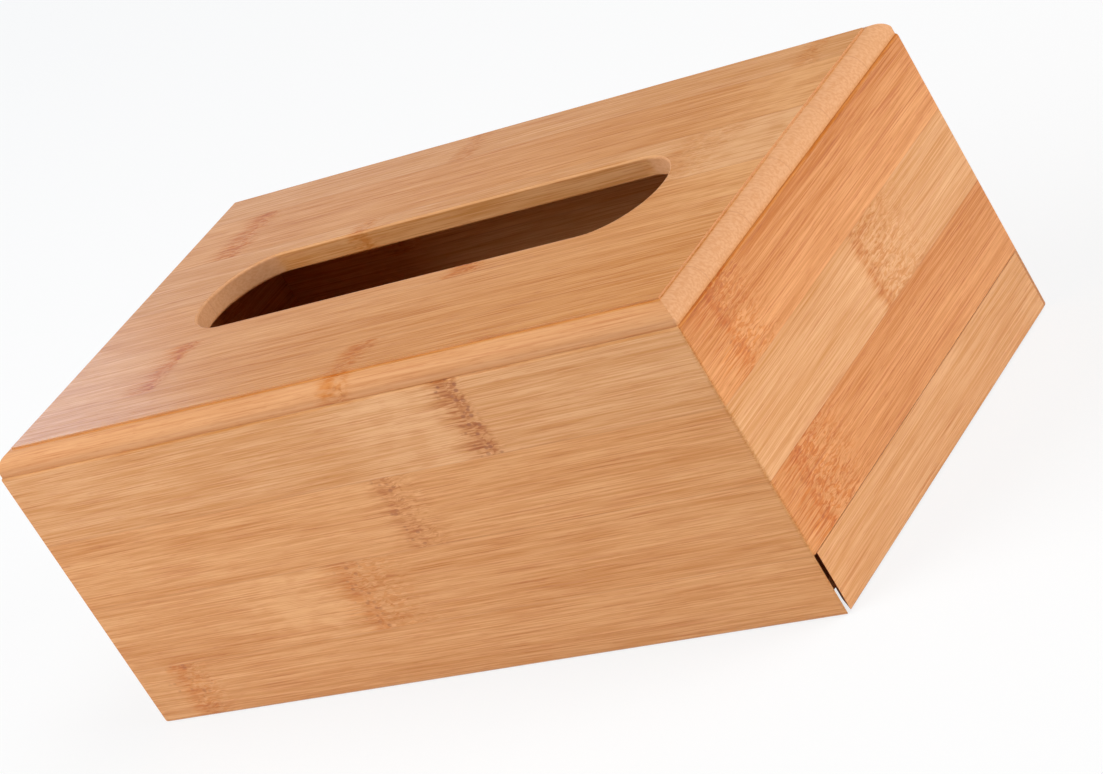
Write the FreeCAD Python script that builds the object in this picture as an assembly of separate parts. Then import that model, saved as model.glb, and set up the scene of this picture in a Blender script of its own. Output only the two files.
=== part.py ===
"""Bamboo tissue box with a slide-out base.

Four mitred walls carry a top board that has a stepped, rounded edge and a long slot for the tissues.
A thin base slides in a groove that runs round the foot of the walls. Its pull strip takes the place of
the foot of the right-hand wall. Every board is edge-glued from bamboo slats, and each slat is a piece.

Units are millimetres. The origin is the centre of the footprint, on the surface that the box stands on.
+X points along the box to the end where the base comes out, +Y to the back and +Z up.
"""

import FreeCAD
import Part

import math
import os

# Outside of the closed box
OUTER_LENGTH = 220.0
OUTER_WIDTH = 120.0
OUTER_HEIGHT = 85.0

# Boards
WALL_THICKNESS = 5.0
TOP_THICKNESS = 5.5
BASE_THICKNESS = 3.0
WALL_SLAT_WIDTH = 20.6
LEVEL_SLAT_WIDTH = 21.5  # in the top and the base
FOOT_HEIGHT = 16.7  # lowest slat of each wall
NARROWEST_RIP = 2.0  # a narrower offcut stays on its neighbour

# Rounded and eased edges
TOP_ROUND = 4.5
TOP_STEP = 0.45  # from the face of the top down to the start of its rounded edge
TOP_INSET = 0.35  # from the outside of the walls to the edge of the top
ARRIS_EASE = 0.8
SLOT_EASE = 0.6

# Tissue slot in the top board, with half-round ends
SLOT_LENGTH = 150.0
SLOT_WIDTH = 32.0

# Groove round the inside of the walls, and the base that slides in it
GROOVE_LIFT = 5.0  # from the foot of the walls to the groove
GROOVE_DEPTH = 2.0
GROOVE_CLEARANCE = 0.4  # above the base
BASE_EDGE_CLEARANCE = 0.3  # between the base and the bottom of the groove

# Pull strip on the base, which is the foot of the right-hand wall
PULL_TOP_CLEARANCE = 0.15
PULL_FOOT_CLEARANCE = 0.3
PULL_MITRE_GAP = 1.0  # square to the mitred ends

# Places that follow from the sizes above
HALF_LENGTH = OUTER_LENGTH / 2
HALF_WIDTH = OUTER_WIDTH / 2
WALL_TOP = OUTER_HEIGHT - TOP_THICKNESS
INNER_LENGTH = OUTER_LENGTH - 2 * WALL_THICKNESS
INNER_WIDTH = OUTER_WIDTH - 2 * WALL_THICKNESS
GROOVE_TOP = GROOVE_LIFT + BASE_THICKNESS + GROOVE_CLEARANCE

# Each wall: the way that it faces in plan, its distance from the centre and half its length
WALLS = {
    "front_wall": ((0, -1), HALF_WIDTH, HALF_LENGTH),
    "back_wall": ((0, 1), HALF_WIDTH, HALF_LENGTH),
    "left_wall": ((-1, 0), HALF_LENGTH, HALF_WIDTH),
    "right_wall": ((1, 0), HALF_LENGTH, HALF_WIDTH),
}

OVERCUT = 1.0  # how far a cutting tool passes the faces that it cuts
BEYOND = 2 * (OUTER_LENGTH + OUTER_WIDTH + OUTER_HEIGHT)  # larger than the whole box


def centred_block(length, width, low, high):
    """An upright block about the Z axis, from one height to another."""
    corner = FreeCAD.Vector(-length / 2, -width / 2, low)
    return Part.makeBox(length, width, high - low, corner)


def level_edges(shape, height):
    """The edges of a shape that lie in the level plane at a height."""
    flat = []
    for edge in shape.Edges:
        box = edge.BoundBox
        if abs(box.ZMin - height) < 1e-6 and abs(box.ZMax - height) < 1e-6:
            flat.append(edge)
    return flat


def sanded_block(height, inset=0.0):
    """The outside of the box, or less by an inset, up to a height and with all its edges eased."""
    block = centred_block(OUTER_LENGTH - 2 * inset, OUTER_WIDTH - 2 * inset, 0, height)
    return block.makeFillet(ARRIS_EASE, block.Edges)


def wall_ring():
    """The four walls as one ring, with the groove for the base cut round the inside."""
    ring = sanded_block(WALL_TOP)
    ring = ring.cut(centred_block(INNER_LENGTH, INNER_WIDTH, -OVERCUT, WALL_TOP + OVERCUT))
    groove_length = INNER_LENGTH + 2 * GROOVE_DEPTH
    groove_width = INNER_WIDTH + 2 * GROOVE_DEPTH
    return ring.cut(centred_block(groove_length, groove_width, GROOVE_LIFT, GROOVE_TOP))


def mitred_stretch(ring, wall, low, high, gap=0.0):
    """One wall's part of the ring between its mitred ends and two heights.

    The gap, square to the mitre, is left open at each end.
    """
    (out_x, out_y), distance, half_length = WALLS[wall]
    shortening = gap * math.sqrt(2)
    outside = OVERCUT
    inside = -WALL_THICKNESS - OVERCUT
    outline = []
    for outward, end in ((outside, -1), (outside, 1), (inside, 1), (inside, -1)):
        away = distance + outward
        along = end * (half_length + outward - shortening)
        outline.append(FreeCAD.Vector(out_x * away - out_y * along, out_y * away + out_x * along, low))
    plan = Part.Face(Part.makePolygon(outline + outline[:1]))
    return ring.common(plan.extrude(FreeCAD.Vector(0, 0, high - low)))


def slot_tool():
    """The through-cut for the tissues: straight sides and half-round ends."""
    radius = SLOT_WIDTH / 2
    centre = SLOT_LENGTH / 2 - radius
    low = WALL_TOP - OVERCUT

    def at(x, y):
        return FreeCAD.Vector(x, y, low)

    outline = Part.Wire(
        [
            Part.makeLine(at(-centre, -radius), at(centre, -radius)),
            Part.Arc(at(centre, -radius), at(centre + radius, 0), at(centre, radius)).toShape(),
            Part.makeLine(at(centre, radius), at(-centre, radius)),
            Part.Arc(at(-centre, radius), at(-centre - radius, 0), at(-centre, -radius)).toShape(),
        ]
    )
    return Part.Face(outline).extrude(FreeCAD.Vector(0, 0, TOP_THICKNESS + 2 * OVERCUT))


def top_board():
    """The top: its edge is rounded below a small step, and the walls stand slightly proud of it."""
    length = OUTER_LENGTH - 2 * TOP_INSET
    width = OUTER_WIDTH - 2 * TOP_INSET
    step_foot = OUTER_HEIGHT - TOP_STEP
    blank = centred_block(length, width, WALL_TOP - TOP_ROUND, step_foot)
    rounded = blank.makeFillet(TOP_ROUND, level_edges(blank, step_foot))
    field = centred_block(length - 2 * TOP_ROUND, width - 2 * TOP_ROUND, WALL_TOP, OUTER_HEIGHT)
    board = rounded.fuse(field).common(sanded_block(OUTER_HEIGHT, TOP_INSET))
    board = board.common(centred_block(BEYOND, BEYOND, WALL_TOP, OUTER_HEIGHT + OVERCUT)).removeSplitter()
    slot = slot_tool()
    board = board.cut(slot).Solids[0]
    faces = level_edges(board, OUTER_HEIGHT) + level_edges(board, WALL_TOP)
    rims = [edge for edge in faces if slot.BoundBox.isInside(edge.BoundBox)]
    return board.makeFillet(SLOT_EASE, rims)


def base_board():
    """The sliding base: three edges run in the walls' groove, the fourth is glued into the pull strip's."""
    left = -INNER_LENGTH / 2 - GROOVE_DEPTH + BASE_EDGE_CLEARANCE
    right = INNER_LENGTH / 2 + GROOVE_DEPTH
    half_width = INNER_WIDTH / 2 + GROOVE_DEPTH - BASE_EDGE_CLEARANCE
    corner = FreeCAD.Vector(left, -half_width, GROOVE_LIFT)
    return Part.makeBox(right - left, 2 * half_width, BASE_THICKNESS, corner)


def slat_bounds(reach, width):
    """Where each slat of a board starts and ends, laid up with whole slats from one line to the reach."""
    bounds = []
    start = 0.0
    while reach - start - width > NARROWEST_RIP:
        bounds.append((start, start + width))
        start += width
    bounds.append((start, reach + OVERCUT))
    return bounds


def rip_upright(board, name):
    """The slats of an upright board, laid up and numbered from its bottom edge up."""
    box = board.BoundBox
    slats = {}
    for number, (start, end) in enumerate(slat_bounds(box.ZLength, WALL_SLAT_WIDTH), start=1):
        stretch = centred_block(BEYOND, BEYOND, box.ZMin + start, box.ZMin + end)
        slats[f"{name}_slat_{number}"] = board.common(stretch)
    return slats


def rip_level(board, name):
    """The slats of a level board, laid up and numbered from the middle to the front and to the back."""
    box = board.BoundBox
    slats = {}
    for side, away in (("front", -1), ("back", 1)):
        for number, (start, end) in enumerate(slat_bounds(box.YMax, LEVEL_SLAT_WIDTH), start=1):
            corner = FreeCAD.Vector(-BEYOND / 2, min(away * start, away * end), -BEYOND / 2)
            stretch = Part.makeBox(BEYOND, end - start, BEYOND, corner)
            slats[f"{name}_{side}_slat_{number}"] = board.common(stretch)
    return slats


def all_pieces():
    """Every piece of the box by name, closed, as it stands."""
    ring = wall_ring()
    pieces = rip_level(top_board(), "top")
    for wall in WALLS:
        pieces.update(rip_upright(mitred_stretch(ring, wall, FOOT_HEIGHT, WALL_TOP), wall))
    for wall in ("front_wall", "back_wall", "left_wall"):
        pieces[f"{wall}_foot_slat"] = mitred_stretch(ring, wall, 0, FOOT_HEIGHT)
    pull_top = FOOT_HEIGHT - PULL_TOP_CLEARANCE
    pieces["pull_strip"] = mitred_stretch(ring, "right_wall", PULL_FOOT_CLEARANCE, pull_top, PULL_MITRE_GAP)
    pieces.update(rip_level(base_board(), "base"))
    return pieces


def main():
    """Write one STEP file for each piece."""
    os.makedirs("parts", exist_ok=True)
    for name, shape in all_pieces().items():
        solids = shape.Solids
        piece = solids[0] if len(solids) == 1 else Part.makeCompound(solids)
        piece.exportStep(f"parts/{name}.step")
        print(f"{name}: {len(solids)} solid, {piece.Volume:.0f} mm3, valid {piece.isValid()}")


main()
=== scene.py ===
"""Looks of a bamboo tissue box with a slide-out base.

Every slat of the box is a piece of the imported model. Each one is dressed here in its own bamboo, with the
shade, the fibres and the culm nodes that the slat shows. The box stands on a pale floor in soft light.

Lengths are metres, apart from the figure of a slat, which is drawn in millimetres.
"""

import logging
import math
from dataclasses import asdict, dataclass, field
from enum import Enum
from typing import ClassVar, Mapping, Sequence, Union

import bpy
from mathutils import Color, Matrix, Vector


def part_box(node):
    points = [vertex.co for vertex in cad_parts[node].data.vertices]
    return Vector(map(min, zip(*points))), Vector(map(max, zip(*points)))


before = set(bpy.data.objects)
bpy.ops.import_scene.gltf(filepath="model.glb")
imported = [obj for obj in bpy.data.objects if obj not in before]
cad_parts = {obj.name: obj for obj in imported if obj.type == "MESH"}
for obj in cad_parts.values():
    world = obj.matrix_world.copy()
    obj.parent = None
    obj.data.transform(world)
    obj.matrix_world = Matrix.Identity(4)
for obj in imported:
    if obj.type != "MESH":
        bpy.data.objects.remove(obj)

LOG = logging.getLogger("tissue_box")
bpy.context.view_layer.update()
MM_PER_M = 1000.0

Feed = Union["Signal", float, Sequence[float]]
Span = tuple[float, float]


class SocketKind(Enum):
    """What a socket of a node group carries."""

    VALUE = "NodeSocketFloat"
    VECTOR = "NodeSocketVector"
    COLOUR = "NodeSocketColor"

    def each(self, *names: str) -> dict[str, "SocketKind"]:
        """Sockets of this kind, by name."""
        return dict.fromkeys(names, self)


@dataclass(frozen=True)
class Signal:
    """One output of a shader node. Sums with it add the nodes that work them out."""

    writer: "NodeWriter"
    socket: bpy.types.NodeSocket

    def __add__(self, other: Feed) -> "Signal":
        """This plus another value."""
        return self.writer.calc("ADD", self, other)

    def __sub__(self, other: Feed) -> "Signal":
        """This less another value."""
        return self.writer.calc("SUBTRACT", self, other)

    def __rsub__(self, other: Feed) -> "Signal":
        """Another value less this."""
        return self.writer.calc("SUBTRACT", other, self)

    def __mul__(self, other: Feed) -> "Signal":
        """This times another value."""
        return self.writer.calc("MULTIPLY", self, other)

    def __truediv__(self, other: Feed) -> "Signal":
        """This divided by another value."""
        return self.writer.calc("DIVIDE", self, other)

    def __abs__(self) -> "Signal":
        """The size of this, whatever its sign."""
        return self.writer.calc("ABSOLUTE", self)

    def or_more(self, other: Feed) -> "Signal":
        """The larger of this and another value."""
        return self.writer.calc("MAXIMUM", self, other)

    def between(self, low: float, high: float) -> "Signal":
        """This with its 0 moved to a low value and its 1 to a high one."""
        return self * (high - low) + low

    def smooth(self, low: Feed, high: Feed) -> "Signal":
        """A soft step from 0, where this has the first value, to 1, where it has the second."""
        node = self.writer.node("ShaderNodeMapRange", self, low, high, interpolation_type="SMOOTHSTEP")
        return Signal(self.writer, node.outputs[0])


@dataclass(frozen=True)
class Grain:
    """How large the grains of a pattern are, in millimetres, along the slat and across it."""

    length: float
    width: float
    detail: float = 1.0
    step: Span = (0.0, 1.0)  # from where on its scale the pattern starts to show to where it shows in full

    @property
    def size(self) -> tuple[float, float, float]:
        """The grain's length, width and thickness."""
        return (self.length, self.width, self.width)


class NodeWriter:
    """Writes shader nodes into one tree."""

    MIX_INPUTS: ClassVar[tuple[int, int, int]] = (0, 6, 7)  # factor and the two colours
    MIX_OUTPUT: ClassVar[int] = 2
    NOISE_MIDDLE: ClassVar[float] = 0.5

    def __init__(self, tree: bpy.types.NodeTree) -> None:
        """Start on a tree."""
        self.tree = tree

    def node(self, kind: str, *values: Feed, **settings: object) -> bpy.types.Node:
        """Add a node.

        Args:
            kind: The identifier of the kind of node.
            values: What its first inputs get, in their order.
            settings: Properties to set on it.

        Returns:
            The new node.
        """
        node = self.tree.nodes.new(kind)
        for name, value in settings.items():
            setattr(node, name, value)
        for socket, value in zip(node.inputs, values):
            self.feed(socket, value)
        return node

    def feed(self, socket: bpy.types.NodeSocket, value: Feed) -> None:
        """Link a signal to a socket, or set a plain value on the socket.

        Args:
            socket: An input of a node in the tree.
            value: The signal or the plain value.
        """
        if isinstance(value, Signal):
            self.tree.links.new(value.socket, socket)
        else:
            socket.default_value = value

    def calc(self, operation: str, *values: Feed) -> Signal:
        """What a Math node makes of some values."""
        node = self.node("ShaderNodeMath", *values, operation=operation)
        return Signal(self, node.outputs[0])

    def vector(self, operation: str, *values: Feed) -> Signal:
        """What a Vector Math node makes of some values: a number if they are dotted, and else a vector."""
        node = self.node("ShaderNodeVectorMath", *values, operation=operation)
        return Signal(self, node.outputs["Value" if operation == "DOT_PRODUCT" else "Vector"])

    def join(self, x: Feed, y: Feed, z: Feed) -> Signal:
        """The vector of three values."""
        node = self.node("ShaderNodeCombineXYZ", x, y, z)
        return Signal(self, node.outputs[0])

    def split(self, vector: Signal) -> list[Signal]:
        """The three values of a vector."""
        node = self.node("ShaderNodeSeparateXYZ", vector)
        return [Signal(self, output) for output in node.outputs]

    def blend(self, factor: Feed, first: Feed, second: Feed, mode: str = "MIX") -> Signal:
        """Blend two colours.

        Args:
            factor: The share of the second colour.
            first: The colour below.
            second: The colour on top.
            mode: How they are blended.

        Returns:
            The blended colour.
        """
        node = self.node("ShaderNodeMix", data_type="RGBA", blend_type=mode)
        for index, value in zip(self.MIX_INPUTS, (factor, first, second)):
            self.feed(node.inputs[index], value)
        return Signal(self, node.outputs[self.MIX_OUTPUT])

    def noise(self, place: Signal, grain: Grain) -> Signal:
        """Add noise with grains of a set size.

        Args:
            place: Where on the slat, in millimetres.
            grain: The size of the noise's grains.

        Returns:
            Noise from 0 to 1, about a half.
        """
        node = self.node("ShaderNodeTexNoise", noise_dimensions="3D")
        self.feed(node.inputs["Vector"], self.vector("DIVIDE", place, grain.size))
        self.feed(node.inputs["Scale"], 1.0)
        self.feed(node.inputs["Detail"], grain.detail)
        return Signal(self, node.outputs[0])

    def patches(self, place: Signal, grain: Grain) -> Signal:
        """Noise that is drawn apart into patches: 1 inside them and 0 between them."""
        return self.noise(place, grain).smooth(*grain.step)

    def sway(self, place: Signal, grain: Grain, reach: float) -> Signal:
        """Noise about 0, with a reach to each side."""
        return (self.noise(place, grain) - self.NOISE_MIDDLE) * (2 * reach)

    def pushed(self, place: Signal, aside: Signal) -> Signal:
        """A place that is pushed aside, across the grain and into the slat alike."""
        return self.vector("ADD", place, self.join(0.0, aside, aside))

    def specks(self, place: Signal, grain: Grain, share: float) -> Signal:
        """Add round specks, one to a grain, and leave some grains without.

        Args:
            place: Where on the slat, in millimetres.
            grain: How far apart the specks are, and their rim and middle in grains.
            share: The share of the grains that have a speck.

        Returns:
            1 in the middle of each speck and 0 outside it.
        """
        node = self.node("ShaderNodeTexVoronoi", voronoi_dimensions="3D", feature="F1")
        self.feed(node.inputs["Vector"], self.vector("DIVIDE", place, grain.size))
        self.feed(node.inputs["Scale"], 1.0)
        chance = self.split(Signal(self, node.outputs["Color"]))[0]
        kept = self.calc("LESS_THAN", chance, share)
        return Signal(self, node.outputs["Distance"]).smooth(*grain.step) * kept

    def place_group(self, group: "EffectGroup", facts: Mapping[str, Feed]) -> dict[str, Signal]:
        """Place a shared effect in the tree.

        Args:
            group: The effect.
            facts: What is known of the slat, by name. The effect's inputs take what they need.

        Returns:
            What the effect puts out, by name.
        """
        node = self.node("ShaderNodeGroup", node_tree=group.tree)
        for name in group.INPUTS:
            self.feed(node.inputs[name], facts[name])
        return {name: Signal(self, node.outputs[name]) for name in group.OUTPUTS}


class EffectGroup(NodeWriter):
    """A shader node group that several materials share. It is written once, when it is made."""

    NAME: ClassVar[str]
    INPUTS: ClassVar[Mapping[str, SocketKind]]
    OUTPUTS: ClassVar[Mapping[str, SocketKind]]

    def __init__(self) -> None:
        """Make the group with its sockets and write its nodes."""
        super().__init__(bpy.data.node_groups.new(self.NAME, "ShaderNodeTree"))
        for way, sockets in (("INPUT", self.INPUTS), ("OUTPUT", self.OUTPUTS)):
            for name, kind in sockets.items():
                self.tree.interface.new_socket(name, in_out=way, socket_type=kind.value)
        self.entry = self.node("NodeGroupInput")
        self.exit = self.node("NodeGroupOutput")
        self.write()

    def __getitem__(self, name: str) -> Signal:
        """One of the group's inputs, as its own nodes see it."""
        return Signal(self, self.entry.outputs[name])

    def total(self, shares: Mapping[str, float]) -> Signal:
        """Some of the group's inputs, each times its share, added up."""
        first, *others = (self[name] * share for name, share in shares.items())
        return sum(others, first)

    def put_out(self, name: str, value: Feed) -> None:
        """Send a value to one of the group's outputs."""
        self.feed(self.exit.inputs[name], value)

    def write(self) -> None:
        """Write the group's nodes."""
        raise NotImplementedError


class SlatSpace(EffectGroup):
    """Where a point lies on its slat: along the grain, across it and into it, in millimetres."""

    NAME = "Slat Space"
    INPUTS = {
        **SocketKind.VECTOR.each("Along", "Across", "Middle"),
        **SocketKind.VALUE.each("Seed", "Cut From", "Cut To"),
    }
    OUTPUTS = {
        **SocketKind.VECTOR.each("Place", "Pattern"),
        **SocketKind.VALUE.each("End Grain", "Edge"),
    }

    SEED_STEP = (731.0, 67.0, 43.0)  # from one slat's figure to the next, in millimetres
    EDGE_TURN = (0.995, 0.93)  # cosines of the turn from the slat's face, where an edge starts and is full

    def write(self) -> None:
        """Write the group's nodes."""
        point = self.node("ShaderNodeTexCoord").outputs
        offset = self.vector("SUBTRACT", Signal(self, point["Object"]), self["Middle"])
        offset = self.vector("MULTIPLY", offset, (MM_PER_M, MM_PER_M, MM_PER_M))
        inward = self.vector("CROSS_PRODUCT", self["Along"], self["Across"])
        axes = (self["Along"], self["Across"], inward)
        place = self.join(*(self.vector("DOT_PRODUCT", offset, axis) for axis in axes))
        step = self.join(*(self["Seed"] * length for length in self.SEED_STEP))
        normal = Signal(self, point["Normal"])
        facing = abs(self.vector("DOT_PRODUCT", normal, self["Along"]))
        flat = abs(self.vector("DOT_PRODUCT", normal, inward))
        self.put_out("Place", place)
        self.put_out("Pattern", self.vector("ADD", place, step))
        self.put_out("End Grain", facing.smooth(self["Cut From"], self["Cut To"]))
        self.put_out("Edge", flat.smooth(*self.EDGE_TURN))


class CulmNodeMark(EffectGroup):
    """One culm node across a slat.

    It is a stained, pitted band, with curly scales ahead of it and a comb of fibres and paler wood behind it.
    Marks are chained: each one adds itself to those before it.
    """

    NAME = "Culm Node"
    OUTPUTS = SocketKind.VALUE.each("Band", "Flecks", "Pits", "Curl", "Halo")
    INPUTS = {
        **SocketKind.VECTOR.each("Place", "Pattern"),
        **SocketKind.VALUE.each("At", "Width", "Slant", "Strength", "Pitting", "Glow", "Ahead", "Behind"),
        **OUTPUTS,
    }

    SWAY = Grain(40.0, 7.0)
    SWAY_REACH = 1.6
    FRINGE = Grain(8.0, 0.9)
    FRINGE_REACH = 0.85  # in half widths of the band
    PATCH = Grain(8.0, 4.0, step=(0.35, 0.6))
    BLOTCH = Grain(3.0, 1.3, detail=2.0, step=(0.38, 0.6))
    BAND_RIM = (1.3, 0.4)  # from where the band ends to where it is full, in half widths
    BAND_BLOTCH = (0.15, 1.0)  # how strong the band is between its blotches and inside them
    BAND_PATCH = (0.6, 1.1)  # and between its patches and inside them
    PITS = Grain(2.1, 1.4, step=(0.42, 0.22))
    PIT_SHARE = 0.55
    PIT_RIM = (1.5, 0.7)  # from where the pits end to where they are full, in half widths
    PIT_BLOTCH = (0.6, 1.0)  # how strong the pits are between the band's blotches and inside them
    TURN = 1.0  # how far to each side of the band's middle the scales pass into the comb, in millimetres
    AHEAD_FADE = (1.0, 0.2)  # from where the scales end to where they are full, as shares of their reach
    BEHIND_FADE = (-1.0, -0.1)  # the same for the comb
    HALO_FAR = (-4.0, -1.5)  # from where the paler wood ends to where it is full, in reaches of the comb
    HALO_NEAR = (0.0, -0.8)  # the same at its other end, at the band
    HALO_PATCH = (0.4, 1.0)  # how strong it is between patches and inside them
    WAVE = Grain(4.0, 2.5)
    WAVE_REACH = 1.5
    SCALES = Grain(3.0, 0.75, step=(0.5, 0.57))
    COMB = Grain(12.0, 0.5, step=(0.49, 0.58))
    COMB_DEPTH = 1.3
    COMB_CURL = 0.4  # how much its fibres curl, as a share of the scales' curl

    def write(self) -> None:
        """Write the group's nodes."""
        along, across, _ = self.split(self["Place"])
        pattern = self["Pattern"]
        side = along - self["At"] - across * self["Slant"] - self.sway(pattern, self.SWAY, self.SWAY_REACH)
        near = abs(side) / self["Width"] * 2.0 + self.sway(pattern, self.FRINGE, self.FRINGE_REACH)
        blotch = self.patches(pattern, self.BLOTCH)
        patch = self.patches(pattern, self.PATCH)
        band = near.smooth(*self.BAND_RIM)
        band = band * blotch.between(*self.BAND_BLOTCH) * patch.between(*self.BAND_PATCH)
        pits = self.specks(pattern, self.PITS, self.PIT_SHARE)
        pits = pits * near.smooth(*self.PIT_RIM) * blotch.between(*self.PIT_BLOTCH)
        fore, rear = side / self["Ahead"], side / self["Behind"]
        ahead = fore.smooth(*self.AHEAD_FADE) * side.smooth(-self.TURN, self.TURN)
        behind = rear.smooth(*self.BEHIND_FADE) * side.smooth(self.TURN, -self.TURN)
        halo = rear.smooth(*self.HALO_FAR) * rear.smooth(*self.HALO_NEAR) * patch.between(*self.HALO_PATCH)
        waved = self.pushed(pattern, self.sway(pattern, self.WAVE, self.WAVE_REACH))
        scales = self.patches(waved, self.SCALES) * ahead
        comb = self.patches(pattern, self.COMB) * behind
        marks = {
            "Band": band * self["Strength"],
            "Flecks": scales.or_more(comb * self.COMB_DEPTH) * self["Strength"],
            "Pits": pits * self["Pitting"],
            "Curl": ahead.or_more(behind * self.COMB_CURL),
            "Halo": halo * self["Glow"],
        }
        for name, mark in marks.items():
            self.put_out(name, self[name].or_more(mark))


class BambooFibres(EffectGroup):
    """The run of the fibres through a slat, from fine lines to broad drifts of shade."""

    RUNS = {
        "Lines": Grain(20.0, 0.33, detail=2.0, step=(0.32, 0.68)),
        "Streaks": Grain(60.0, 0.9, step=(0.28, 0.72)),
        "Drift": Grain(110.0, 5.0, step=(0.25, 0.75)),
        "Dashes": Grain(5.0, 0.35, step=(0.58, 0.7)),
        "Threads": Grain(30.0, 0.5, step=(0.57, 0.7)),
    }
    NAME = "Bamboo Fibres"
    INPUTS = {"Pattern": SocketKind.VECTOR, "Curl": SocketKind.VALUE}
    OUTPUTS = SocketKind.VALUE.each(*RUNS)

    WANDER = Grain(90.0, 12.0)
    WANDER_REACH = 0.6
    CURL = Grain(4.0, 2.6)
    CURL_REACH = 0.9

    def write(self) -> None:
        """Write the group's nodes."""
        pattern = self["Pattern"]
        wander = self.sway(pattern, self.WANDER, self.WANDER_REACH)
        curl = self.sway(pattern, self.CURL, self.CURL_REACH) * self["Curl"]
        run = self.pushed(pattern, wander + curl)
        for name, grain in self.RUNS.items():
            self.put_out(name, self.patches(run, grain))


class BambooColour(EffectGroup):
    """The colour of bamboo.

    It shows fibres, culm nodes, cut fibre ends and glue lines. It also paints light and shade: a painted
    highlight on rounded edges and on the step of the top's edge, and painted shade at the foot of that edge
    and below its step.
    """

    NAME = "Bamboo Colour"
    INPUTS = {
        **SocketKind.VECTOR.each("Place", "Pattern"),
        **SocketKind.VALUE.each("Half Length", "Half Width", "Half Depth", "Tilt", "Threading"),
        **SocketKind.VALUE.each("Step", "Seam", "End Grain", "Edge", "Sanded"),
        **BambooFibres.OUTPUTS,
        **SocketKind.VALUE.each("Band", "Flecks", "Pits", "Halo"),
        **SocketKind.COLOUR.each("Pale", "Deep", "Thread", "Stain", "Pit", "Cut"),
    }
    OUTPUTS = {"Color": SocketKind.COLOUR}

    PALE_SHARES = {"Lines": 0.5, "Streaks": 0.24, "Drift": 0.26, "Halo": 0.24}
    DASH_SHARE = 0.7  # how strong a dash is beside a thread
    PIT_DEPTH = 0.8
    FUZZ = Grain(3.0, 0.6, detail=1.2, step=(0.3, 0.7))
    FUZZ_DEPTH = 0.34
    GLUE_LINE = (0.05, 0.3)  # from its dark middle to its edge, in millimetres
    GLUE_DEPTH = 0.16
    SEAM_REACH = (1.1, 0.1)  # from where the painted shade at the foot of the board ends down to its full depth
    QUIRK_RIM = (-0.02, 0.0)  # from where the painted shade below the edge's step starts to where it is full
    QUIRK_FADE = (0.12, 0.02)  # from where that painted shade ends back up to where it is full
    END_REACH = (6.5, 5.0)  # from where the step runs along the fibres to where it crosses their ends
    ARRIS_RIM = (0.02, 0.08)  # from where the face of the board ends to where its step is full
    ARRIS_FADE = (0.0, -0.05)  # from where the step ends back up to where it is full
    STEP_END_PAINTED_SHADE = 0.22  # how much painted shade darkens the step where it crosses the fibres' ends

    def write(self) -> None:
        """Write the group's nodes."""
        along, across, depth = self.split(self["Place"])
        paleness = self.total(self.PALE_SHARES) + across / self["Half Width"] * self["Tilt"]
        colour = self.blend(paleness, self["Deep"], self["Pale"])
        # Painted highlight: rounded edges blended towards the paler cut-wood colour.
        colour = self.blend(self["Edge"] * self["Sanded"], colour, self["Cut"])
        thread = (self["Threads"] + self["Dashes"] * self.DASH_SHARE) * self["Threading"]
        colour = self.blend(thread, colour, self["Thread"], "MULTIPLY")
        colour = self.blend(self["Band"], colour, self["Stain"], "MULTIPLY")
        colour = self.blend(self["Flecks"], colour, self["Stain"], "MULTIPLY")
        colour = self.blend(self["Pits"] * self.PIT_DEPTH, colour, self["Pit"])
        fuzz = self.patches(self["Pattern"], self.FUZZ)
        cut = self.blend(fuzz * self.FUZZ_DEPTH, self["Cut"], self["Deep"])
        colour = self.blend(self["End Grain"], colour, cut)
        glue = 1.0 - (self["Half Width"] - abs(across)).smooth(*self.GLUE_LINE)
        colour = self.blend(glue * self.GLUE_DEPTH, colour, self["Pit"])
        # Painted shade: darker at the foot of the top board's rounded edge, where it meets the walls, and in
        # a line just below its step.
        foot = (self["Half Depth"] + depth).smooth(*self.SEAM_REACH)
        fall = self["Half Depth"] - depth - self["Step"]
        end = (self["Half Length"] - abs(along)).smooth(*self.END_REACH)
        quirk = fall.smooth(*self.QUIRK_RIM) * fall.smooth(*self.QUIRK_FADE) * (1.0 - end)
        arris = fall.smooth(*self.ARRIS_FADE) * (fall + self["Step"]).smooth(*self.ARRIS_RIM)
        # Painted highlight on the upright face of the step, and painted shade on that face near the ends of
        # the slat.
        colour = self.blend(arris * self["Seam"] * (1.0 - self["End Grain"]), colour, self["Pale"])
        colour = self.blend(arris * end * self.STEP_END_PAINTED_SHADE, colour, self["Deep"])
        # The painted shade at the foot and below the step, multiplied in with the stain colour.
        shade = foot.or_more(quirk) * self["Seam"]
        self.put_out("Color", self.blend(shade, colour, self["Stain"], "MULTIPLY"))


class SatinLacquer(EffectGroup):
    """A thin satin lacquer that sinks into the fibres: how it shines and how it lies."""

    NAME = "Satin Lacquer"
    INPUTS = SocketKind.VALUE.each("Lines", "Streaks", "Dashes", "Pits", "End Grain", "Edge", "Gloss")
    OUTPUTS = SocketKind.VALUE.each("Roughness", "Height")

    EDGE_DULLNESS = 0.34
    END_DULLNESS = 0.62
    DULL_SHARES = {"Lines": -0.06, "Streaks": -0.06}
    HEIGHT_SHARES = {"Lines": 0.5, "Streaks": 0.3, "Dashes": -0.3, "Pits": -0.1}

    def write(self) -> None:
        """Write the group's nodes."""
        worked = (self["Edge"] * self.EDGE_DULLNESS).or_more(self["End Grain"] * self.END_DULLNESS)
        dull = self.total(self.DULL_SHARES) + worked
        self.put_out("Roughness", 1.0 - self["Gloss"] + dull)
        self.put_out("Height", self.total(self.HEIGHT_SHARES))


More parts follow.
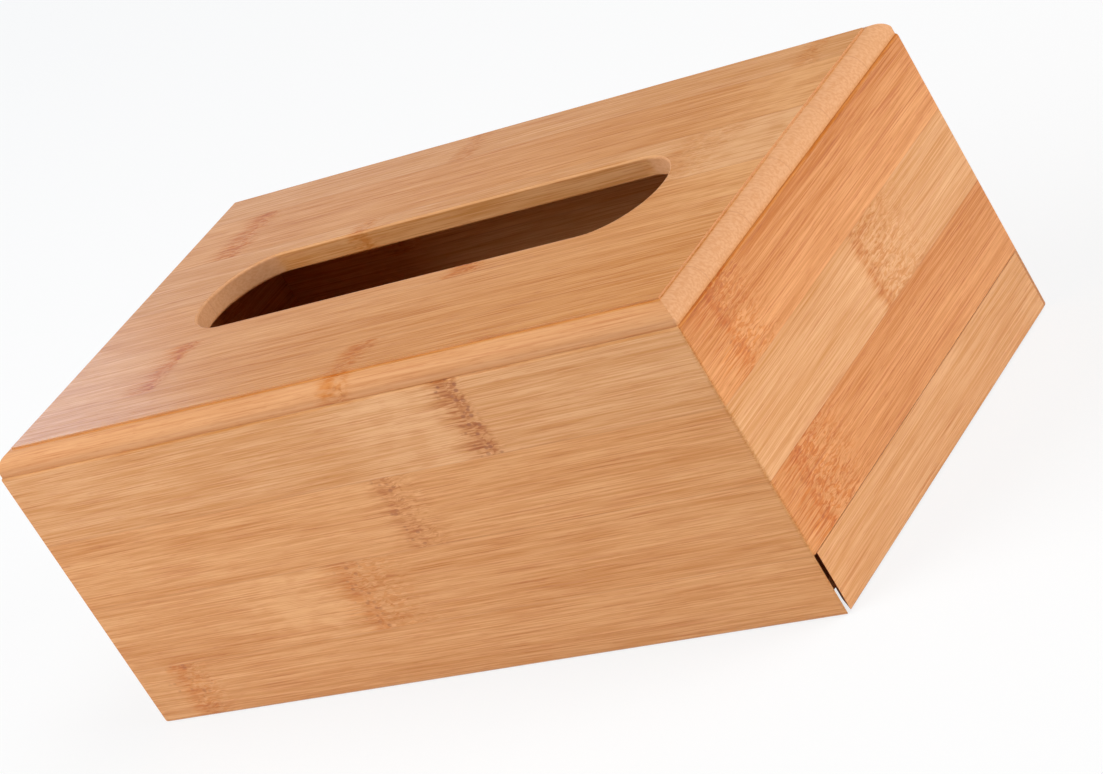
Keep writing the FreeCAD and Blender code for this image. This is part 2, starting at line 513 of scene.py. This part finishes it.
@dataclass(frozen=True)
class Tone:
    """A colour as it is seen, in sRGB steps from 0 to 255."""

    STEPS: ClassVar[int] = 255

    red: int
    green: int
    blue: int

    @property
    def linear(self) -> tuple[float, float, float, float]:
        """The colour as a shader socket takes it."""
        seen = Color((self.red / self.STEPS, self.green / self.STEPS, self.blue / self.STEPS))
        return (*seen.from_srgb_to_scene_linear(), 1.0)


@dataclass(frozen=True)
class BambooFinish:
    """One shade of bamboo under its lacquer. Threads and stains darken the shade that they lie on."""

    pale: Tone
    deep: Tone
    threading: float
    thread: Tone = Tone(232, 206, 186)
    pit: Tone = Tone(150, 84, 46)
    # the cut fibre ends; the same colour makes the painted highlight on rounded edges
    cut: Tone = Tone(220, 164, 120)
    gloss: float = 0.76


class Shade(Enum):
    """The shades that the slats were sorted into."""

    STRAW = BambooFinish(pale=Tone(228, 172, 120), deep=Tone(193, 123, 51), threading=0.5)
    HONEY = BambooFinish(pale=Tone(227, 167, 109), deep=Tone(190, 116, 43), threading=0.55)
    AMBER = BambooFinish(pale=Tone(225, 156, 95), deep=Tone(186, 106, 30), threading=0.8)


class Stain(Enum):
    """What the culm nodes do to the colour of their slat. The same colours tint the painted shade at the top
    board's rounded edge.
    """

    RUST = Tone(241, 210, 142)
    TAN = Tone(235, 203, 144)
    UMBER = Tone(219, 187, 140)


@dataclass(frozen=True)
class CulmNode:
    """A culm node where it crosses a slat, in millimetres along the grain from the middle of the box."""

    at: float
    width: float = 7.0
    slant: float = 0.0
    strength: float = 0.6
    ahead: float = 12.0  # how far its broken fibres reach along the grain
    behind: float = 12.0  # and how far they reach the other way
    pitting: float = 0.25
    glow: float = 0.5  # how much paler the wood is behind it

    @property
    def facts(self) -> dict[str, float]:
        """What its mark needs to know, by the names of the mark's inputs."""
        return {name.title(): value for name, value in asdict(self).items()}


@dataclass(frozen=True)
class Slat:
    """One slat: the model's node that it is, its shade and the culm nodes that cross it."""

    name: str
    shade: Shade
    nodes: tuple[CulmNode, ...] = ()
    tilt: float = 0.0  # how much paler it is towards its far edge
    # the stain of its culm nodes, which also tints the painted shade at the top's edge
    stain: Stain = Stain.RUST
    sanded: float = 0.0  # how much its rounded edge is blended towards the paler cut-wood colour, as a painted highlight


class Lay(Enum):
    """How a board is laid up: the way that its grain runs, and the way that its slats lie side by side."""

    LEVEL = ((1.0, 0.0, 0.0), (0.0, 1.0, 0.0))
    LENGTHWAYS = ((1.0, 0.0, 0.0), (0.0, 0.0, 1.0))
    CROSSWAYS = ((0.0, 1.0, 0.0), (0.0, 0.0, 1.0))


@dataclass(frozen=True)
class Cut:
    """How far a face turns from the grain, as the sine of the turn, until it shows only cut fibre ends."""

    start: float
    end: float


SQUARE_CUT = Cut(start=0.1, end=0.25)
MITRE_CUT = Cut(start=0.66, end=0.705)


class Workshop:
    """Holds the shared effects and makes the bamboo of each slat from them."""

    BUMP_DEPTH: ClassVar[float] = 0.000014
    LACQUER_IOR: ClassVar[float] = 1.46

    def __init__(self) -> None:
        """Write every shared effect once."""
        self.space = SlatSpace()
        self.mark = CulmNodeMark()
        self.fibres = BambooFibres()
        self.colour = BambooColour()
        self.lacquer = SatinLacquer()
        self.seed = 0

    def facts(self, slat: Slat, board: "Board") -> dict[str, Feed]:
        """List what the effects need to know of one slat.

        Args:
            slat: The slat.
            board: The board that it belongs to.

        Returns:
            The facts by the names of the effects' inputs, with no mark of a culm node yet.
        """
        finish = slat.shade.value
        along, across = (Vector(axis) for axis in board.lay.value)
        low, high = (Vector(corner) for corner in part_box(slat.name))
        size = (high - low) * MM_PER_M
        middle = (low + high) / 2
        middle -= along * middle.dot(along)
        return {
            "Along": along,
            "Across": across,
            "Middle": middle,
            "Seed": float(self.seed),
            "Cut From": board.cut.start,
            "Cut To": board.cut.end,
            "Half Length": size.dot(along) / 2,
            "Half Width": size.dot(across) / 2,
            "Half Depth": size.dot(along.cross(across)) / 2,
            "Step": board.step,
            "Seam": board.seam,
            "Tilt": slat.tilt,
            "Sanded": slat.sanded,
            "Stain": slat.stain.value.linear,
            "Pale": finish.pale.linear,
            "Deep": finish.deep.linear,
            "Thread": finish.thread.linear,
            "Pit": finish.pit.linear,
            "Cut": finish.cut.linear,
            "Threading": finish.threading,
            "Gloss": finish.gloss,
            **dict.fromkeys(CulmNodeMark.OUTPUTS, 0.0),
        }

    def bamboo(self, slat: Slat, board: "Board") -> bpy.types.Material:
        """Make the bamboo of one slat.

        Args:
            slat: The slat.
            board: The board that it belongs to.

        Returns:
            The slat's own material.
        """
        self.seed += 1
        material = bpy.data.materials.new(f"bamboo_{slat.name}")
        material.use_nodes = True
        writer = NodeWriter(material.node_tree)
        facts = self.facts(slat, board)
        facts |= writer.place_group(self.space, facts)
        for node in slat.nodes:
            facts |= writer.place_group(self.mark, {**facts, **node.facts})
        for effect in (self.fibres, self.colour, self.lacquer):
            facts |= writer.place_group(effect, facts)
        bump = writer.node("ShaderNodeBump")
        writer.feed(bump.inputs["Distance"], self.BUMP_DEPTH)
        writer.feed(bump.inputs["Height"], facts["Height"])
        shader = material.node_tree.nodes["Principled BSDF"]
        writer.feed(shader.inputs["Base Color"], facts["Color"])
        writer.feed(shader.inputs["Roughness"], facts["Roughness"])
        writer.feed(shader.inputs["Normal"], Signal(writer, bump.outputs["Normal"]))
        writer.feed(shader.inputs["IOR"], self.LACQUER_IOR)
        return material


@dataclass
class Board:
    """A board that is edge-glued from slats."""

    name: str
    lay: Lay
    slats: tuple[Slat, ...]
    cut: Cut = SQUARE_CUT
    step: float = 0.0  # from its face down to its rounded edge, in millimetres
    seam: float = 0.0  # how much painted shade darkens the foot of its edge and the line below its step, and how much painted highlight lightens the step

    def dress(self, workshop: Workshop) -> None:
        """Give every slat of the board its bamboo.

        Args:
            workshop: Where the bamboo is made.
        """
        for slat in self.slats:
            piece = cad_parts[slat.name]
            material = workshop.bamboo(slat, self)
            for slot in piece.material_slots:
                slot.material = material
            LOG.info("%s: %s in %s", self.name, slat.name, slat.shade.name.lower())


@dataclass
class TopBoard(Board):
    """The top, with its rounded edge and the tissue slot, laid up from its front slats to its back slats.

    Some slats are paler towards their right-hand end, drawn as the pale wood behind a culm node that is put
    past that end.
    """

    PAST_END: ClassVar[float] = 122.0  # where that culm node is put, past the right-hand end of the slats
    PAST_END_REACH: ClassVar[float] = 14.0
    PAINTED_EDGE_HIGHLIGHT: ClassVar[float] = 0.45  # painted highlight on the rounded edge of the outermost slats

    name: str = "top board"
    lay: Lay = Lay.LEVEL
    slats: tuple[Slat, ...] = (
        Slat(
            "top_front_slat_3",
            Shade.HONEY,
            (CulmNode(at=9.0, width=10.0, slant=0.1, strength=0.68, ahead=6.0, behind=8.0),),
            sanded=PAINTED_EDGE_HIGHLIGHT,
        ),
        Slat(
            "top_front_slat_2",
            Shade.HONEY,
            (CulmNode(at=-66.0, slant=0.1, strength=1.0, ahead=6.0),),
        ),
        Slat(
            "top_front_slat_1",
            Shade.HONEY,
            (
                CulmNode(at=25.5, width=10.0, strength=1.0, ahead=8.0, behind=8.0),
                CulmNode(at=PAST_END, behind=PAST_END_REACH, glow=1.3),
            ),
        ),
        Slat(
            "top_back_slat_1",
            Shade.STRAW,
            (
                CulmNode(at=74.0, width=8.0, slant=0.2, strength=0.3, ahead=20.0, behind=10.0),
                CulmNode(at=-35.0, width=8.0, slant=0.4, ahead=6.0, behind=6.0),
                CulmNode(at=PAST_END, behind=PAST_END_REACH, glow=2.2),
            ),
        ),
        Slat(
            "top_back_slat_2",
            Shade.HONEY,
            (
                CulmNode(at=-84.0, width=9.0, slant=0.1, strength=0.9, ahead=8.0, behind=10.0),
                CulmNode(at=PAST_END, behind=PAST_END_REACH, glow=2.3),
            ),
        ),
        Slat(
            "top_back_slat_3",
            Shade.STRAW,
            (
                CulmNode(at=-15.0, width=8.0, strength=0.4, ahead=6.0, behind=6.0),
                CulmNode(at=93.0, width=8.0, strength=0.4, ahead=6.0, behind=6.0),
            ),
            sanded=PAINTED_EDGE_HIGHLIGHT,
        ),
    )
    step: float = 0.45
    # Painted shade at the foot and below the step of the rounded edge, and a painted highlight on the step.
    seam: float = 0.45


@dataclass
class Wall(Board):
    """A wall with mitred ends, laid up from its top edge down."""

    cut: Cut = MITRE_CUT


@dataclass
class FrontWall(Wall):
    """The long wall at the front."""

    name: str = "front wall"
    lay: Lay = Lay.LENGTHWAYS
    slats: tuple[Slat, ...] = (
        Slat(
            "front_wall_slat_3",
            Shade.STRAW,
            (CulmNode(at=41.5, width=7.5, strength=0.75, ahead=6.0, pitting=1.0, glow=1.4),),
            stain=Stain.UMBER,
        ),
        Slat(
            "front_wall_slat_2",
            Shade.HONEY,
            (CulmNode(at=6.0, width=5.5, slant=0.03, strength=0.45, ahead=14.0, behind=9.0, pitting=0.7),),
            stain=Stain.UMBER,
        ),
        Slat(
            "front_wall_slat_1",
            Shade.HONEY,
            (CulmNode(at=-20.5, width=6.0, strength=0.5, ahead=24.0, behind=14.0, pitting=0.6, glow=1.6),),
        ),
        Slat(
            "front_wall_foot_slat",
            Shade.HONEY,
            (CulmNode(at=-93.0, width=10.0, ahead=14.0, behind=6.0, pitting=0.5),),
        ),
    )


@dataclass
class RightWall(Wall):
    """The short wall at the right-hand end. It stops above the pull strip."""

    name: str = "right wall"
    lay: Lay = Lay.CROSSWAYS
    slats: tuple[Slat, ...] = (
        Slat(
            "right_wall_slat_3",
            Shade.AMBER,
            (CulmNode(at=-45.5, width=4.5, strength=0.75, ahead=20.0, behind=15.0, pitting=0.3, glow=0.0),),
            tilt=-0.3,
        ),
        Slat(
            "right_wall_slat_2",
            Shade.STRAW,
            (CulmNode(at=7.5, width=4.5, strength=0.65, ahead=30.0, behind=5.0),),
            tilt=-0.05,
            stain=Stain.TAN,
        ),
        Slat(
            "right_wall_slat_1",
            Shade.AMBER,
            (CulmNode(at=-48.5, width=4.5, strength=0.9, ahead=28.0, behind=14.0, pitting=0.3, glow=0.0),),
            tilt=-0.12,
        ),
    )


@dataclass
class BackWall(Wall):
    """The long wall at the back."""

    name: str = "back wall"
    lay: Lay = Lay.LENGTHWAYS
    slats: tuple[Slat, ...] = (
        Slat(
            "back_wall_slat_3",
            Shade.HONEY,
            (CulmNode(at=-61.0, width=8.0, slant=0.08, behind=10.0),),
        ),
        Slat(
            "back_wall_slat_2",
            Shade.STRAW,
            (CulmNode(at=27.0, width=8.0, slant=-0.05, strength=0.5, ahead=16.0, behind=8.0),),
        ),
        Slat(
            "back_wall_slat_1",
            Shade.HONEY,
            (CulmNode(at=88.0, strength=0.7, ahead=9.0, behind=14.0),),
            stain=Stain.UMBER,
        ),
        Slat(
            "back_wall_foot_slat",
            Shade.AMBER,
            (CulmNode(at=-8.0, width=9.0, slant=0.05, strength=0.5),),
        ),
    )


@dataclass
class LeftWall(Wall):
    """The short wall at the left-hand end."""

    name: str = "left wall"
    lay: Lay = Lay.CROSSWAYS
    slats: tuple[Slat, ...] = (
        Slat(
            "left_wall_slat_3",
            Shade.STRAW,
            (CulmNode(at=31.0, width=8.0, slant=0.05, strength=0.5, behind=14.0),),
        ),
        Slat("left_wall_slat_2", Shade.HONEY),
        Slat(
            "left_wall_slat_1",
            Shade.HONEY,
            (CulmNode(at=-17.0, slant=-0.06, strength=0.65, ahead=14.0, behind=9.0),),
        ),
        Slat("left_wall_foot_slat", Shade.STRAW),
    )


@dataclass
class SlidingBase(Board):
    """The base that slides out, laid up from its front slats to its back slats."""

    name: str = "sliding base"
    lay: Lay = Lay.LEVEL
    slats: tuple[Slat, ...] = (
        Slat("base_front_slat_3", Shade.HONEY, (CulmNode(at=-38.0, width=8.0, slant=0.1, strength=0.5),)),
        Slat("base_front_slat_2", Shade.STRAW, (CulmNode(at=72.0, width=8.0),)),
        Slat("base_front_slat_1", Shade.HONEY, (CulmNode(at=-81.0, slant=0.05, strength=0.5),)),
        Slat("base_back_slat_1", Shade.HONEY, (CulmNode(at=12.0, width=9.0, slant=-0.1),)),
        Slat("base_back_slat_2", Shade.STRAW, (CulmNode(at=-55.0, width=8.0, strength=0.4),)),
        Slat("base_back_slat_3", Shade.HONEY, (CulmNode(at=49.0, width=8.0, slant=0.08),)),
    )


@dataclass
class PullStrip(Wall):
    """The strip below the right-hand wall, by which the base is pulled out."""

    name: str = "pull strip"
    lay: Lay = Lay.CROSSWAYS
    slats: tuple[Slat, ...] = (Slat("pull_strip", Shade.STRAW),)


@dataclass
class Floor:
    """A wide pale floor that keeps the box's soft shadow."""

    half_size: float = 5.0
    drop: float = 0.0002  # below the foot of the walls
    paint: float = 0.8
    glow: float = 0.8  # the share of plain white that the eye and reflections see

    def build(self) -> None:
        """Make the floor and its paint."""
        reach = self.half_size
        corners = [(-reach, -reach), (reach, -reach), (reach, reach), (-reach, reach)]
        mesh = bpy.data.meshes.new("floor")
        mesh.from_pydata([(x, y, -self.drop) for x, y in corners], [], [(0, 1, 2, 3)])
        floor = bpy.data.objects.new("floor", mesh)
        bpy.context.scene.collection.objects.link(floor)
        mesh.materials.append(self.floor_paint())
        LOG.info("floor: %.0f m across", 2 * reach)

    def floor_paint(self) -> bpy.types.Material:
        """Paint that looks white to the eye and in reflections, and is plain matt paint to the light.

        Returns:
            The paint.
        """
        material = bpy.data.materials.new("floor_paint")
        material.use_nodes = True
        tree = material.node_tree
        tree.nodes.clear()
        writer = NodeWriter(tree)
        path = writer.node("ShaderNodeLightPath")
        rays = ("Is Camera Ray", "Is Glossy Ray", "Is Transmission Ray")
        camera, glossy, transmission = (Signal(writer, path.outputs[ray]) for ray in rays)
        seen = camera.or_more(glossy).or_more(transmission)
        matt = writer.node("ShaderNodeBsdfDiffuse")
        writer.feed(matt.inputs["Color"], (self.paint, self.paint, self.paint, 1.0))
        white = writer.node("ShaderNodeEmission")
        mix = writer.node("ShaderNodeMixShader")
        output = writer.node("ShaderNodeOutputMaterial")
        writer.feed(mix.inputs[0], seen * self.glow)
        tree.links.new(matt.outputs[0], mix.inputs[1])
        tree.links.new(white.outputs[0], mix.inputs[2])
        tree.links.new(mix.outputs[0], output.inputs["Surface"])
        return material


@dataclass(frozen=True)
class SoftBox:
    """A soft light that faces the box, placed by its bearing: 0 is the front, 90 the right-hand end."""

    name: str
    bearing: float
    height: float
    distance: float
    width: float
    watts: float
    tint: tuple[float, float, float] = (1.0, 1.0, 1.0)
    squash: float = 1.0  # its height as a share of its width
    mirrored: bool = True  # whether lacquer shows its reflection

    def build(self) -> None:
        """Hang the light."""
        lamp = bpy.data.lights.new(self.name, "AREA")
        lamp.shape = "ELLIPSE"
        lamp.size = self.width
        lamp.size_y = self.width * self.squash
        lamp.energy = self.watts
        lamp.color = self.tint
        turn = math.radians(self.bearing)
        place = Vector((math.sin(turn) * self.distance, -math.cos(turn) * self.distance, self.height))
        light = bpy.data.objects.new(self.name, lamp)
        light.location = place
        light.rotation_euler = (-place).to_track_quat("-Z", "Y").to_euler()
        light.visible_glossy = self.mirrored
        bpy.context.scene.collection.objects.link(light)
        LOG.info("light: %s", self.name)


@dataclass
class Studio:
    """A plain pale room with soft lights."""

    room_light: float = 0.12
    floor: Floor = field(default_factory=Floor)
    lights: tuple[SoftBox, ...] = (
        SoftBox(
            "front_left_light",
            bearing=-46.0,
            height=0.72,
            distance=1.0,
            width=1.3,
            watts=15.7,
            mirrored=False,
        ),
        SoftBox(
            "right_light",
            bearing=97.0,
            height=0.4,
            distance=1.2,
            width=0.8,
            watts=9.0,
            mirrored=False,
        ),
        SoftBox(
            "top_light",
            bearing=110.0,
            height=1.5,
            distance=0.7,
            width=1.0,
            watts=10.1,
        ),
        SoftBox(
            "rear_light",
            bearing=180.0,
            height=0.6,
            distance=1.2,
            width=1.0,
            watts=2.2,
            mirrored=False,
        ),
        SoftBox(
            "back_left_light",
            bearing=-105.75,
            height=0.49,
            distance=1.1,
            width=0.9,
            watts=1.2,
            tint=(0.45, 0.7, 1.0),
            squash=0.4,
        ),
        SoftBox(
            "back_light",
            bearing=-128.0,
            height=0.22,
            distance=1.2,
            width=1.23,
            watts=0.82,
            tint=(0.58, 0.76, 1.0),
            squash=0.42,
        ),
    )

    def build(self) -> None:
        """Make the floor, the room's own light and the lamps."""
        bpy.context.scene.view_settings.view_transform = "Standard"
        room = bpy.data.worlds.new("pale_room")
        room.use_nodes = True
        background = room.node_tree.nodes["Background"]
        background.inputs["Color"].default_value = (1.0, 1.0, 1.0, 1.0)
        background.inputs["Strength"].default_value = self.room_light
        bpy.context.scene.world = room
        self.floor.build()
        for light in self.lights:
            light.build()


@dataclass
class Viewpoint:
    """Where the box is seen from: raised, off the front right corner, with the camera leaning."""

    target: tuple[float, float, float] = (0.01737, -0.0059, 0.0425)
    bearing: float = 43.646
    elevation: float = 21.379
    distance: float = 0.9355
    lean: float = 31.514
    lens: float = 126.59
    sensor: float = 36.0

    def build(self) -> None:
        """Set up the camera."""
        turn, rise, lean = (math.radians(angle) for angle in (self.bearing, self.elevation, self.lean))
        level = math.cos(rise)
        away = Vector((math.sin(turn) * level, -math.cos(turn) * level, math.sin(rise)))
        upright = away.to_track_quat("Z", "Y").to_matrix()
        camera_data = bpy.data.cameras.new("camera")
        camera_data.lens = self.lens
        camera_data.sensor_width = self.sensor
        camera = bpy.data.objects.new("camera", camera_data)
        place = Vector(self.target) + away * self.distance
        tilted = upright @ Matrix.Rotation(-lean, 3, "Z")
        camera.matrix_world = Matrix.Translation(place) @ tilted.to_4x4()
        bpy.context.scene.collection.objects.link(camera)
        bpy.context.scene.camera = camera
        LOG.info("camera: %.0f mm lens at %.2f m", self.lens, self.distance)


def main() -> None:
    """Dress the box and light it."""
    logging.basicConfig(level=logging.INFO, format="%(message)s")
    workshop = Workshop()
    walls = (FrontWall(), RightWall(), BackWall(), LeftWall())
    for board in (TopBoard(), *walls, SlidingBase(), PullStrip()):
        board.dress(workshop)
    Studio().build()
    Viewpoint().build()


if __name__ == "__main__":
    main()
